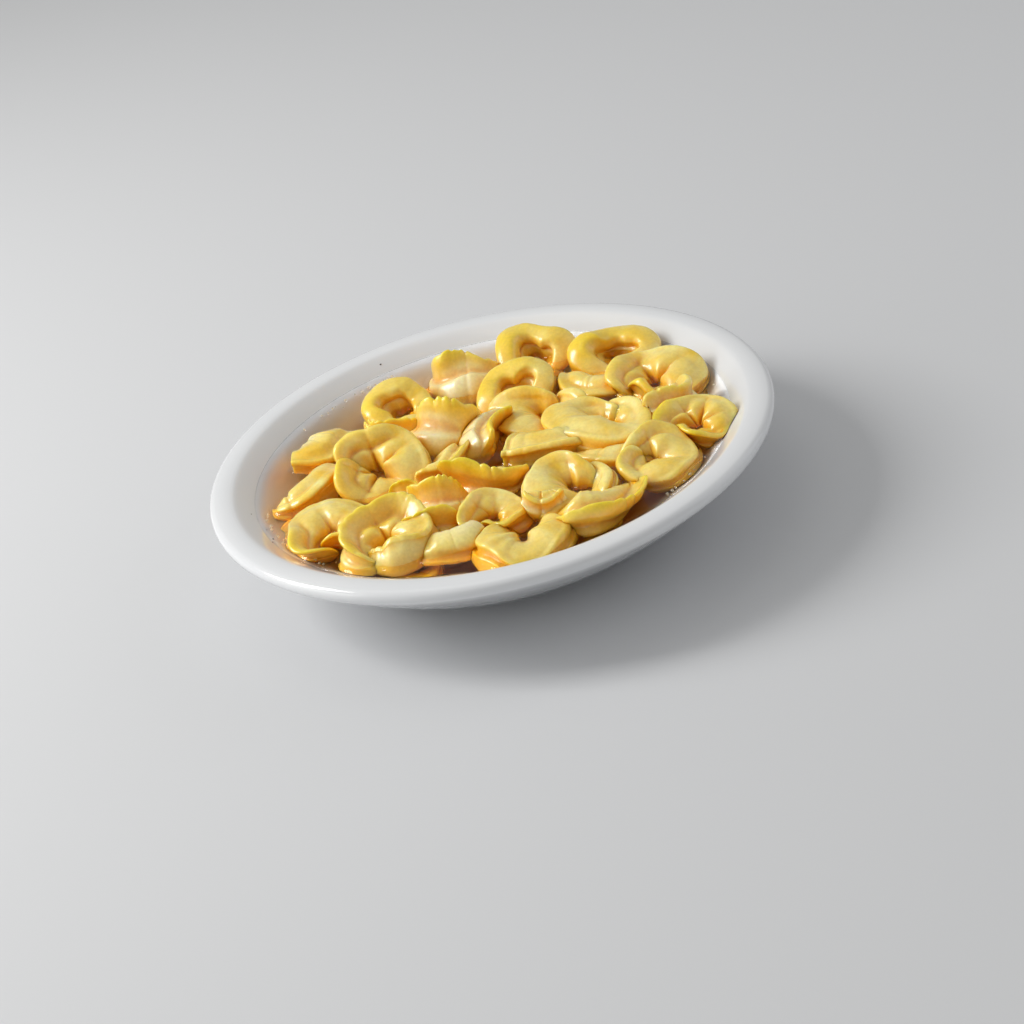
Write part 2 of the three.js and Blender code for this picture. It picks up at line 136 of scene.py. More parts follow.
# One row for each dumpling, nearest and topmost first: x, y, lift over the broth, compass of the belly,
# tilt, compass of the tilt, size, kind, its own settings.
HEAP = [
    (3, -72, -3.5, 262, 4, 270, 1.12, "ring",
     dict(lap=-0.5, blunt=4, belly=8.2, arm=7.6, brim=0.6, arm_brim=0.8, stack=0, pleat=1.2, flat=0.1,
          oval=0.06)),
    (31, -62, 1, 294, -4, 280, 1.05, "frill",
     dict(lean=76, curl=-70, belly=9.2, arm=4.8, brim=6, spread=0.75, swell_at=-0.55, brim_at=0.4,
          ring=13, scallop=1)),
    (-42, -56, 0, 43, 6, 260, 1.14, "leaf",
     dict(oval=-0.12, belly=8.2, arm=7.2, brim=4.6, brim_at=1.5, arm_brim=1.2, lean=25, curl=30,
          thick=2.2, pleat=2.2, pleats=5, lap=0.5, blunt=3, scallop=0.4)),
    (-19, -65, 1.5, 277, 4, 250, 0.85, "box",
     dict(lean=115, brim=2, arm_brim=2, belly=7.4, arm=7.2, mouth=0, twist=0, ring=24, lap=-2.6, peak=0,
          crease=0.02)),
    (-60, -37, -2, 75, 10, 270, 1.2, "flap", dict(brim=0.8, belly=7.2)),
    (53, -41, -1.5, 325, 10, 268, 1.02, "star", dict(arm_brim=3.2, peak=0, lap=0.4)),
    (25, -47, -1, 210, 18, 275, 1.25, "leaf", dict(oval=0.15)),
    (-5, -53, -1, 50, 18, 270, 0.92, "flap", dict(arm_brim=3.6, lean=35)),
    (13, -56, 3.5, 262, 14, 270, 0.72, "box", dict(mouth=0, lean=20, peak=0, twist=0, lap=-2.3)),
    (-26, -46, -1.5, 219, -15, 250, 0.95, "frill", dict(lean=40, curl=-10)),
    (-22, -34, -1.5, 243, -8, 243, 0.95, "frill", dict(lean=2, peak=0.3, arm_brim=2)),
    (-3, -27, 0.5, 248, 0, 240, 0.92, "frill",
     dict(belly=8.4, lean=46, curl=-50, brim=7, peak=0.2, scallop=1)),
    (-41, -1, 0, 330, 28, 265, 1.2, "star", dict(arm_brim=5, peak=0.8, pleat=4, pleats=5)),
    (42, -9, 0, 228, 4, 275, 1.28, "leaf", dict(oval=0.22, lap=0.55, belly=8, arm=6.4)),
    (-1, 4, 2, 150, 0, 330, 1, "box",
     dict(mouth=0, belly=6.6, arm=6.2, brim=5, arm_brim=4, lean=-58, curl=40, twist=0, peak=0, ring=30,
          lap=-2.7)),
    (18, -14, 1.5, 266, 6, 270, 1.05, "box",
     dict(ring=24, lap=-2.6, belly=7.2, arm=6.8, lean=60, brim=1.4, arm_brim=1.4, square=0.7, twist=0,
          flat=0)),
    (-19, -9, -1, 321, 5, 270, 0.95, "box", dict(mouth=0, brim=2.4)),
    (64, 17, -2, 20, 14, 262, 1.15, "star", dict(peak=0.6, arm_brim=4.5, pleats=4)),
    (72, -24, -1.5, 19, 15, 260, 1, "flap", dict(pleat=2.6, pleats=6, square=0.6)),
    (64, -9, 1.5, 318, 5, 300, 1, "box", dict(mouth=0, belly=7.4, lean=10)),
    (22, 9, -1.5, 225, 14, 270, 1.3, "ring", dict(oval=0.16)),
    (-13, 17, -1, 242, 0, 250, 1.25, "hat",
     dict(brim=3.8, belly=9, arm_brim=0.8, peak=0.7, lean=-4, curl=-14, scallop=0.8)),
    (15, 35, -2, 110, 28, 262, 1, "pocket", dict(peak=0.4)),
    (26, 60, -2.5, 120, 26, 268, 1.08, "pocket", {}),
    (-67, -1, -1, 318, 4, 270, 1, "pillow", dict(blunt=3.4)),
    (-63, 28, 0.5, 306, 4, 250, 1, "box",
     dict(lap=-2.2, belly=8, arm=7.2, brim=1.4, arm_brim=1, lean=70, curl=20, mouth=2.4, twist=0,
          crease=0.02)),
    (55, 45, -3.5, 110, 16, 262, 1.08, "pocket", dict(peak=0.5)),
    (-3, 56, -1, 250, 0, 262, 1.15, "hat",
     dict(brim=3.4, belly=8.6, arm_brim=0.8, peak=0.7, lean=-4, curl=-14)),
    (-29, 43, -1.5, 150, 22, 270, 0.98, "pocket", {}),
    (42, 28, -1.5, 237, 4, 270, 0.95, "pillow", {}),
    (42, -30, -2.5, 258, 5, 270, 1, "pillow", dict(brim=1.2, arm_brim=1.2)),
    (-33, -25, 1.5, 45, 10, 270, 0.5, "frill", {}),
    (-32, 22, 0, 250, 0, 270, 0.9, "frill", {}),
]

# Dumplings that lie wholly under the broth, as x, y, height, compass, size and kind.
SUNK = [
    (-60, 4, 22.5, 20, 0.85, "pillow"),
    (-69, -20, 21.5, 120, 0.8, "ring"),
    (-34, -63, 20.5, 200, 0.85, "ring"),
    (27, -70, 20, 330, 0.8, "pillow"),
    (72, 5, 21, 80, 0.8, "pillow"),
    (-30, 66, 21, 250, 0.8, "pillow"),
]

# Specks of pepper stuck to the wall, as compass, height and radius.
WALL_SPECKS = [
    (198.5, 31.9, 0.45),
    (201, 33, 0.3),
    (112, 35.6, 0.4),
    (186, 34.2, 0.25),
    (193, 31.8, 0.25),
]
SPECK_SQUASH = 0.6

# Bubbles ride in the broth's edge along a few stretches of the wall, given by the compass of each one's
# middle.
BUBBLES = 70
BUBBLE_SEED = 7
BUBBLE_STRETCHES = (186, 200, 214, 228, 120, 136, 12, 28, 318)
HALF_STRETCH = 9  # degrees
BUBBLE_EDGE = 84.3  # the line they gather at, and how far in from it they lie on average
BUBBLE_INWARD = 0.8
BUBBLE_RISE = 0.75  # they ride on the climbed edge, this far over the level
BUBBLE_RADII = (0.25, 0.6)

# ---- small tools -------------------------------------------------------------------------------


def smooth(x, low, high):
    """0 below low, 1 above high and a smooth step between."""
    part = np.clip((np.asarray(x, float) - low) / (high - low), 0, 1)
    return part * part * (3 - 2 * part)


def trait(dumpling, number):
    """A fixed fraction from 0 to 1 for a dumpling and one of its traits."""
    value = math.sin(dumpling * 12.9898 + number * 78.233) * 43758.5453
    return value - math.floor(value)


def wave(dumpling, number, angle):
    """A slow wave round the ring, its phase different for each dumpling and trait."""
    return np.sin(angle + trait(dumpling, number + 50) * 2 * math.pi)


def spline(points, steps):
    """Points along a smooth line through the given ones."""
    p = np.array([points[0], *points, points[-1]], float)
    line = []
    for k in range(1, len(p) - 2):
        before, start, end, after = p[k - 1 : k + 3]
        out, into = (end - before) / 2, (after - start) / 2
        for t in np.linspace(0, 1, steps, endpoint=False):
            line.append(
                (2 * t**3 - 3 * t**2 + 1) * start + (t**3 - 2 * t**2 + t) * out
                + (3 * t**2 - 2 * t**3) * end + (t**3 - t**2) * into
            )
    return [*map(tuple, line), tuple(p[-1])]


def only(piece):
    """Deselects everything else and makes the piece the active one."""
    bpy.ops.object.select_all(action="DESELECT")
    piece.select_set(True)
    bpy.context.view_layer.objects.active = piece


def corners(piece):
    """The corner points of a piece's mesh, as an array."""
    points = np.zeros(len(piece.data.vertices) * 3, np.float32)
    piece.data.vertices.foreach_get("co", points)
    return points.reshape(-1, 3).astype(float)


def reshape(piece, points):
    """Moves the corner points of a piece's mesh."""
    piece.data.vertices.foreach_set("co", np.asarray(points, np.float32).ravel())
    piece.data.update()


def mark(piece, name, values):
    """Stores one number for each corner point, for a material to read."""
    attribute = piece.data.attributes.new(name, "FLOAT", "POINT")
    attribute.data.foreach_set("value", np.asarray(values, np.float32))


def dress(piece, name, material, nodes=()):
    """Names a finished piece, gives it its material, and sets it in the frame."""
    piece.name = name
    piece.data.name = name
    piece.data.materials.clear()
    piece.data.materials.append(material)
    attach(piece, "root")
    if nodes:
        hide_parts(*nodes)


def face_out(piece):
    """Turns a closed piece's faces outwards."""
    only(piece)
    bpy.ops.object.mode_set(mode="EDIT")
    bpy.ops.mesh.select_all(action="SELECT")
    bpy.ops.mesh.normals_make_consistent(inside=False)
    if bmesh.from_edit_mesh(piece.data).calc_volume(signed=True) < 0:
        bpy.ops.mesh.flip_normals()
    bpy.ops.object.mode_set(mode="OBJECT")
    bpy.ops.object.shade_smooth()


def eased(piece, values, rounds):
    """Evens out the row of numbers of each corner point over its neighbours on the mesh."""
    ends = np.zeros(len(piece.data.edges) * 2, np.int32)
    piece.data.edges.foreach_get("vertices", ends)
    start, end = ends.reshape(-1, 2).T
    size = len(values)
    count = np.bincount(ends, minlength=size)[:, None]
    for _ in range(rounds):
        total = [
            np.bincount(start, column[end], size) + np.bincount(end, column[start], size)
            for column in values.T
        ]
        values = (values + np.column_stack(total) / count) / 2
    return values


def outward(piece):
    """The skin's direction at each corner point."""
    normals = np.zeros(len(piece.data.vertices) * 3, np.float32)
    piece.data.vertices.foreach_get("normal", normals)
    return normals.reshape(-1, 3).astype(float)


def hollows(piece):
    """How deep each corner point lies in a fold: how many millimetres under the evened-out skin."""
    points = corners(piece)
    return ((eased(piece, points, 24) - points) * outward(piece)).sum(1) / MM


def settle(piece, skins):
    """Dents a soft piece inwards where it would run into the pieces that already lie there, no deeper
    than half its thickness."""
    points, ways = corners(piece), -outward(piece)
    own, _, _ = skin_of(piece)
    dent = np.zeros(len(points))
    for skin, low, high in skins:
        for k in np.flatnonzero(((points > low) & (points < high)).all(1)):
            point, way = Vector(points[k]), Vector(ways[k])
            touched, normal, _, _ = skin.find_nearest(point)
            if (touched - point).dot(normal) > 0:
                found, _, _, distance = skin.ray_cast(point, way, PRESS_DEPTH * MM)
                through = own.ray_cast(point + way * 0.1 * MM, way)[3]
                needed = (distance or 0) + PRESS_GAP * MM
                if found is not None and through is not None and needed < through / 2:
                    dent[k] = max(dent[k], needed)
    soft_dent = eased(piece, dent[:, None], 4)[:, 0]
    dent = np.where(dent > 0, np.maximum(dent, soft_dent), 0.5 * soft_dent)
    reshape(piece, points + ways * dent[:, None])


def skin_of(piece):
    """A finished piece's surface for finding near points on it, with the corners of the box round it."""
    points = corners(piece)
    faces = [tuple(face.vertices) for face in piece.data.polygons]
    return BVHTree.FromPolygons(points.tolist(), faces), points.min(0), points.max(0)


def turned(name, outline, around):
    """Turns an outline of radius and height about the upright axis, ring by ring, and closes it."""
    bpy.ops.object.select_all(action="DESELECT")
    radius, height = outline[0]
    bpy.ops.mesh.primitive_circle_add(
        vertices=around, radius=radius * MM, fill_type="NGON", location=(0, 0, height * MM)
    )
    piece = bpy.context.object
    piece.name = name
    bpy.ops.object.transform_apply(location=True, rotation=True, scale=True)
    bpy.ops.object.mode_set(mode="EDIT")
    bpy.ops.mesh.select_all(action="SELECT")
    bpy.ops.mesh.region_to_loop()
    for new_radius, new_height in outline[1:]:
        bpy.ops.mesh.extrude_edges_move(
            TRANSFORM_OT_translate={"value": (0, 0, (new_height - height) * MM)}
        )
        grow = new_radius / radius
        bpy.ops.transform.resize(value=(grow, grow, 1), center_override=(0, 0, 0))
        radius, height = new_radius, new_height
    bpy.ops.mesh.edge_face_add()
    bpy.ops.object.mode_set(mode="OBJECT")
    face_out(piece)
    return piece


# ---- materials ---------------------------------------------------------------------------------


def linear(hex_colour):
    """An sRGB hex colour as a linear one with alpha 1."""
    parts = [int(hex_colour[k : k + 2], 16) / 255 for k in (1, 3, 5)]
    return (*[c / 12.92 if c <= 0.04045 else ((c + 0.055) / 1.055) ** 2.4 for c in parts], 1)


def add(tree, kind, values=None, links=None, **settings):
    """Adds a node with its settings, its plain values, and the outputs that feed it."""
    node = tree.nodes.new(kind)
    for name, value in settings.items():
        setattr(node, name, value)
    for name, value in (values or {}).items():
        node.inputs[name].default_value = value
    for name, output in (links or {}).items():
        tree.links.new(output, node.inputs[name])
    return node


def new_material(name):
    """An empty node material and its tree."""
    material = bpy.data.materials.new(name)
    material.use_nodes = True
    tree = material.node_tree
    tree.nodes.clear()
    return material, tree


def make_porcelain():
    """Hotel porcelain, cast and glazed: dense white under a smooth hard glaze. It gives the eye a cool
    white with sharp window reflections, and a very slight unevenness where the glaze pooled."""
    material, tree = new_material("glazed_porcelain")
    place = add(tree, "ShaderNodeTexCoord").outputs["Object"]
    pool = add(tree, "ShaderNodeTexNoise", {"Scale": 22, "Detail": 2}, {"Vector": place})  # 45 mm drifts
    tint = add(tree, "ShaderNodeMix", {"A": linear("#dcdee1"), "B": linear("#e4e5e6")},
               {"Factor": pool.outputs["Fac"]}, data_type="RGBA")
    wear = add(tree, "ShaderNodeTexNoise", {"Scale": 160, "Detail": 5, "Roughness": 0.6},
               {"Vector": place})  # 6 mm patches of wear
    gloss = add(tree, "ShaderNodeMapRange",
                {"From Min": 0.3, "From Max": 0.75, "To Min": 0.1, "To Max": 0.17},
                {"Value": wear.outputs["Fac"]})
    peel = add(tree, "ShaderNodeTexNoise", {"Scale": 140, "Detail": 1},
               {"Vector": place})  # 7 mm ripples
    ripple = add(tree, "ShaderNodeBump", {"Strength": 0.25, "Distance": 0.00006},
                 {"Height": peel.outputs["Fac"]})
    glaze = add(tree, "ShaderNodeBsdfPrincipled",
                {"IOR": 1.52, "Coat Weight": 0.3, "Coat Roughness": 0.06},
                {"Base Color": tint.outputs["Result"], "Roughness": gloss.outputs["Result"],
                 "Normal": ripple.outputs["Normal"]})
    add(tree, "ShaderNodeOutputMaterial", links={"Surface": glaze.outputs["BSDF"]})
    return material


def make_pasta():
    """Fresh egg pasta, rolled thin and boiled: soft, waxy and a little see-through, wet with broth.
    The double sheet of the brim is a clear lemon and the skin over the filling turns pale and creamy.
    The folds and the crevices between the dumplings are painted amber as shade, deeper where a fold lies
    deeper or where other skin closes in."""
    material, tree = new_material("boiled_egg_pasta")
    place = add(tree, "ShaderNodeTexCoord").outputs["Object"]
    drift = add(tree, "ShaderNodeTexNoise",
                {"Scale": 75, "Detail": 3, "Roughness": 0.55, "Distortion": 0.4},
                {"Vector": place})  # 13 mm drifts of yolk
    dough = add(tree, "ShaderNodeValToRGB", links={"Fac": drift.outputs["Fac"]})
    dough.color_ramp.elements[0].position = 0.32
    dough.color_ramp.elements[0].color = linear("#f5cf40")
    dough.color_ramp.elements[1].position = 0.7
    dough.color_ramp.elements[1].color = linear("#faea98")
    filled = add(tree, "ShaderNodeAttribute", attribute_name="filled")
    over_filling = add(tree, "ShaderNodeMix", {"B": linear("#faf0cc")},
                       {"Factor": filled.outputs["Fac"], "A": dough.outputs["Color"]}, data_type="RGBA")
    brim = add(tree, "ShaderNodeAttribute", attribute_name="brim")
    sheet = add(tree, "ShaderNodeMix", {"B": linear("#f9d632")},
                {"Factor": brim.outputs["Fac"], "A": over_filling.outputs["Result"]}, data_type="RGBA")
    # Painted shade: the skin in a fold is mixed toward amber, by how deep the fold lies.
    fold = add(tree, "ShaderNodeAttribute", attribute_name="fold")
    painted_fold_shade = add(tree, "ShaderNodeMix", {"B": linear("#ecaa1e")},
                  {"Factor": fold.outputs["Fac"], "A": sheet.outputs["Result"]}, data_type="RGBA")
    flour = add(tree, "ShaderNodeTexNoise", {"Scale": 900, "Detail": 2}, {"Vector": place})  # 1 mm grain
    grain = add(tree, "ShaderNodeMapRange",
                {"From Min": 0.35, "From Max": 0.7, "To Min": 0.94, "To Max": 1.04},
                {"Value": flour.outputs["Fac"]})
    grained = add(tree, "ShaderNodeMix", {"Factor": 1},
                  {"A": painted_fold_shade.outputs["Result"], "B": grain.outputs["Result"]},
                  data_type="RGBA", blend_type="MULTIPLY")
    # Painted shade: spots that other skin closes in within 14 mm are multiplied toward amber, the more
    # so the more closed in.
    crevice_occlusion = add(tree, "ShaderNodeAmbientOcclusion", {"Distance": 0.014}, samples=8)
    painted_crevice_shade = add(tree, "ShaderNodeMapRange",
                    {"From Min": 0.95, "From Max": 0.25, "To Min": 0, "To Max": 1},
                    {"Value": crevice_occlusion.outputs["AO"]})
    skin = add(tree, "ShaderNodeMix", {"B": linear("#ffd964")},
               {"Factor": painted_crevice_shade.outputs["Result"], "A": grained.outputs["Result"]},
               data_type="RGBA", blend_type="MULTIPLY")
    wrinkle = add(tree, "ShaderNodeTexNoise", {"Scale": 260, "Detail": 4, "Roughness": 0.6},
                  {"Vector": place})  # 4 mm wrinkles
    skin_relief = add(tree, "ShaderNodeBump", {"Strength": 0.2, "Distance": 0.0004},
                      {"Height": wrinkle.outputs["Fac"]})
    wet = add(tree, "ShaderNodeMapRange",
              {"From Min": 0.3, "From Max": 0.7, "To Min": 0.3, "To Max": 0.42},
              {"Value": drift.outputs["Fac"]})
    flesh = add(tree, "ShaderNodeBsdfPrincipled",
                {"IOR": 1.46, "Subsurface Weight": 0.8, "Subsurface Radius": (1, 0.86, 0.32),
                 "Subsurface Scale": 0.003, "Coat Weight": 0.9, "Coat Roughness": 0.17, "Coat IOR": 1.4},
                {"Base Color": skin.outputs["Result"], "Roughness": wet.outputs["Result"],
                 "Normal": skin_relief.outputs["Normal"]})
    add(tree, "ShaderNodeOutputMaterial", links={"Surface": flesh.outputs["BSDF"]})
    return material


def make_broth():
    """Clear meat broth: water-thin and amber, darker the deeper one looks. Lamps light what lies in it,
    because shadow rays pass its surface."""
    material, tree = new_material("clear_meat_broth")
    water = add(tree, "ShaderNodeBsdfPrincipled",
                {"Base Color": (1, 1, 1, 1), "IOR": 1.333, "Roughness": 0, "Transmission Weight": 1})
    clear = add(tree, "ShaderNodeBsdfTransparent")
    ray = add(tree, "ShaderNodeLightPath")
    surface = add(tree, "ShaderNodeMixShader", links={
        0: ray.outputs["Is Shadow Ray"], 1: water.outputs["BSDF"], 2: clear.outputs["BSDF"]})
    amber = add(tree, "ShaderNodeVolumeAbsorption", {"Color": linear("#eecb3f"), "Density": 50})
    add(tree, "ShaderNodeOutputMaterial",
        links={"Surface": surface.outputs["Shader"], "Volume": amber.outputs["Volume"]})
    return material


def make_pepper():
    """Ground black pepper: dull dark brown grains."""
    material, tree = new_material("ground_pepper")
    grain = add(tree, "ShaderNodeBsdfPrincipled", {"Base Color": linear("#3a2a1c"), "Roughness": 0.7})
    add(tree, "ShaderNodeOutputMaterial", links={"Surface": grain.outputs["BSDF"]})
    return material


def make_bubble():
    """Air bubbles in the broth's skin: a thin wet film that glints and shows what lies behind it."""
    material, tree = new_material("bubble_film")
    film = add(tree, "ShaderNodeBsdfPrincipled",
               {"Base Color": linear("#fff6dc"), "Roughness": 0.03, "IOR": 1.33, "Alpha": 0.3})
    add(tree, "ShaderNodeOutputMaterial", links={"Surface": film.outputs["BSDF"]})
    return material


porcelain = make_porcelain()
pasta = make_pasta()
broth = make_broth()
pepper = make_pepper()
bubble = make_bubble()

# ---- bowl --------------------------------------------------------------------------------------

(top_radius, top_height), (foot_radius, foot_height) = UNDERSIDE_TOP, UNDERSIDE_FOOT
underside = [
    (
        top_radius + (foot_radius - top_radius) * part,
        foot_height + (top_height - foot_height) * (1 - part) ** UNDERSIDE_CURVE,
    )
    for part in np.linspace(0, 1, 17)[1:]
]
floor = [(radius, WELL_FLOOR) for radius in FLOOR_RADII]
wall = spline(WELL_WALL, WALL_STEPS)
bowl = turned("soup_bowl", [*floor, *wall, *RIM, *underside, *FOOT], BOWL_FACETS)
dress(bowl, "soup_bowl", porcelain, ["bowl"])


def well_radius(height):
    """The well's radius at a height on its wall."""
    radii, heights = np.array(wall).T
    return np.interp(height, heights, radii)


# ---- dumplings ---------------------------------------------------------------------------------


def inside_well(points):
    """Pushes points in from the well's wall and up from its floor."""
    height = np.maximum(points[:, 2], WELL_FLOOR + GAP)
    radius = np.hypot(points[:, 0], points[:, 1])
    pull = np.minimum(1, (well_radius(height) - GAP) / np.maximum(radius, 1e-6))
    return np.column_stack([points[:, 0] * pull, points[:, 1] * pull, height])


def direction(angle):
    """A direction in the plane of the cross-section."""
    return np.stack([np.cos(angle), np.sin(angle)], -1)


def times(length, way):
    """Steps of these lengths, each its own way."""
    return length[:, None] * way


def section_corners(tube, brim, lean, curl, thick, press, stretch, square):
    """Corner points of the cross-sections: eight round the filled tube, six round the brim. They lie a
    little outside the skin, because the smooth curve that they pull on runs inside them."""
    phi = math.pi / 2 - lean
    up, across = direction(phi), direction(phi - math.pi / 2)
    side, tip_side = direction(phi + math.pi / 2), direction(phi - curl + math.pi / 2)
    found = []
    for k in range(1, 9):
        turn = math.radians(40 * k)
        radius = tube * 1.085 * (1 - 0.13 * square * math.cos(4 * turn))
        along_up = times(radius * math.cos(turn) * stretch, up)
        found.append(along_up + times(radius * math.sin(turn) * press, across))
    edge = thick * np.sqrt(press)
    root = times(1.063 * tube * stretch, up)
    middle = root + times(0.5 * brim, up)
    tip = middle + times(0.68 * brim, direction(phi - curl))
    halves = [times(0.7 * edge, side), times(0.6 * edge, side), times(0.5 * edge, tip_side)]
    blade = list(zip((root, middle, tip), halves))
    found += [place + half for place, half in blade]
    found += [place - half for place, half in blade[::-1]]
    return np.stack(found)


def smooth_section(found, stop):
    """Points of the smooth closed curve that the corners pull on; stop runs up to their number."""
    first = np.floor(stop).astype(int)
    f = (stop - first)[:, None]
    pulls = ((1 - f) ** 3, 3 * f**3 - 6 * f**2 + 4, -3 * f**3 + 3 * f**2 + 3 * f + 1, f**3)
    each = np.arange(len(stop))
    return sum(pull / 6 * found[(first + k - 1) % len(found), each] for k, pull in enumerate(pulls))


def open_end(kind, along, taper):
    """Past the lip of an open end the skin turns back into the tube. Gives the new along and taper."""
    size = np.abs(along)
    back = np.clip((size - LIP) / (1 - LIP), 0, 1)
    narrowed = (1 - 0.16 * smooth(size, LIP - 0.02, LIP + 0.01)) * np.sqrt(1 - back**3)
    inward = -(np.minimum(size, LIP) - back * 0.16 * kind["mouth"])
    return np.where(along < 0, inward, along), np.where(along < 0, narrowed, taper)


def brim_height(kind, seed, angle):
    """Height of the sealed edge round the ring: its slow rise and fall, its corner and its waved cut."""
    from_top = angle - kind["brim_at"]
    front = smooth(np.cos(from_top / 1.1), -0.6, 0.8)
    corner = np.clip(1 - np.abs(from_top - 0.5 * wave(seed, 13, 0)) / 1.9, 0, 1)
    brim = kind["arm_brim"] + (kind["brim"] - kind["arm_brim"]) * front
    brim = brim + kind["peak"] * kind["brim"] * (1.1 * corner**1.5 - 0.35)
    uneven = 0.16 * wave(seed, 3, 1.5 * angle) + 0.1 * wave(seed, 4, 3 * angle)
    brim = np.maximum(0.6, brim) * (1 + uneven)
    if kind["scallop"]:
        run = angle * (kind["ring"] + 4) / 5.2  # one bump about every 5 mm
        bumps = np.abs(wave(seed, 14, math.pi * run + 1.3 * wave(seed, 16, 1.7 * run))) - 0.6
        brim = brim + kind["scallop"] * bumps * (0.5 + np.abs(wave(seed, 17, 1.3 * run)))
    return brim


def valleys(kind, seed, along):
    """Depth of the narrow valleys that run across the tube where the dough folded."""
    depth = np.zeros_like(along)
    for k in range(4):
        middle, width = (trait(seed, 20 + k) - 0.5) * 1.7, 0.035 + 0.05 * trait(seed, 24 + k)
        each = kind["crease"] * (0.5 + trait(seed, 28 + k))
        depth += each * np.exp(-(((along - middle) / width) ** 2))
    return depth


def gathered(kind, seed, angle, tube, across, up):
    """Gathers the skin in folds round the hole. Gives the new across and up."""
    lobe = np.abs(wave(seed, 15, kind["pleats"] * angle / 2)) ** 0.6 - 0.7
    inner = smooth(-across / tube, -0.3, 0.9) * smooth(up / tube, -0.6, 0.4)
    across = across - kind["pleat"] * lobe * inner
    top = smooth(up / tube, 0.2, 1.2) * smooth(-across / tube, -1.3, 0.3)
    return across, up + 0.6 * kind["pleat"] * lobe * top


def dumpling_points(kind, seed, along, stop):
    """Points of a dumpling about its own middle: along from -1 to 1 on its strip, stop round its
    cross-section. Also how far each point is filled, and how far it is on the brim."""
    reach = math.pi + kind["lap"]
    taper = np.sqrt(np.clip(1 - np.abs(along) ** kind["blunt"], 0, 1))
    if kind["mouth"]:
        along, taper = open_end(kind, along, taper)
    angle = along * reach
    turn = np.abs(angle)
    end = smooth(np.abs(along), 0.4, 0.9)
    full = np.exp(-(((angle - kind["swell_at"]) / kind["spread"]) ** 2))

    # The sizes of the cross-section, each with slow waves of its own.
    tube = kind["arm"] + (kind["belly"] - kind["arm"]) * full
    tube = tube * (1 + 0.07 * wave(seed, 1, 2 * angle) + 0.05 * wave(seed, 2, 3 * angle))
    tube = tube * (1 - valleys(kind, seed, along))
    brim = brim_height(kind, seed, angle)
    lean = kind["lean"] * (0.35 + 0.65 * smooth(np.cos(angle), -0.9, 0.3)) + kind["twist"] * along
    lean = lean + 10 * wave(seed, 5, 2 * angle) + 6 * wave(seed, 6, 4 * angle)
    curl = kind["curl"] * (1 + 0.4 * wave(seed, 7, 2 * angle))
    thick = kind["thick"] * (1 + 0.1 * wave(seed, 8, 3 * angle))
    press, stretch = 1 - kind["flat"] * end, 1 + 0.3 * kind["flat"] * end
    found = section_corners(
        tube, brim, np.radians(lean), np.radians(curl), thick, press, stretch, kind["square"]
    )
    cut = smooth_section(found, stop) * taper[:, None]

    groove = sum(np.exp(-(((stop - at) / GROOVE_WIDTH) ** 2)) for at in GROOVES)
    cut = cut * (1 - GROOVE_DEPTH * groove * smooth(brim, 0.8, 3))[:, None]
    across, up = gathered(kind, seed, angle, tube, cut[:, 0], cut[:, 1])

    # Bent round: ends that cross step aside, and the hole is kept open.
    aside = np.sign(along) * kind["stack"] * smooth(turn, 2.1, 2.9)
    radius = kind["ring"] * (1 + 0.05 * wave(seed, 9, 2 * angle) + 0.04 * wave(seed, 10, 3 * angle))
    radius = radius + aside + across
    eased_radius = HOLE + HOLE_EASE * np.exp(np.minimum(0, (radius - HOLE - HOLE_EASE) / HOLE_EASE))
    radius = np.where(radius < HOLE + HOLE_EASE, eased_radius, radius)
    uneven = 0.05 * (2 * trait(seed, 11) - 1)
    middle = kind["ring"] * math.sin(reach) / reach
    points = np.column_stack([
        radius * np.sin(angle) * (1 + kind["oval"] + uneven),
        -radius * np.cos(angle) * (1 - 0.7 * kind["oval"] - uneven) + middle,
        up + kind["rise"] * (turn / math.pi) ** 2 + 0.6 * wave(seed, 12, 2 * angle),
    ])
    on_brim = smooth(np.abs(stop - CUT_EDGE), 2.4, 0.4) * smooth(brim, 1.5, 5) * taper
    half_way = SECTION_CORNERS / 2
    outer = smooth(np.abs((stop - OUTER_SIDE + half_way) % SECTION_CORNERS - half_way), 4.5, 2)
    return points, FILLED_TINT * full * outer, on_brim


def laid(points, x, y, height, faces, tilt, toward, size):
    """Turns a dumpling's belly to a compass direction, tips it toward another, and puts it in place."""
    heading = math.radians(toward)
    hinge = Vector((-math.sin(heading), math.cos(heading), 0))
    tip = Matrix.Rotation(math.radians(tilt), 3, hinge)
    turn = tip @ Matrix.Rotation(math.radians(faces + 90), 3, "Z")
    return points * size @ np.array(turn).T + (x, y, height)


def crinkle(piece, size, strength):
    """Soft unevenness of a handmade piece, as a displacement that is applied."""
    cloud = bpy.data.textures.new("crinkle", "CLOUDS")
    cloud.noise_scale = size * MM
    cloud.noise_depth = 2
    only(piece)
    uneven = piece.modifiers.new("crinkle", "DISPLACE")
    uneven.texture = cloud
    uneven.texture_coords = "LOCAL"
    uneven.strength = strength * MM
    uneven.mid_level = 0.5
    bpy.ops.object.modifier_apply(modifier=uneven.name)
    bpy.data.textures.remove(cloud)


skins = []


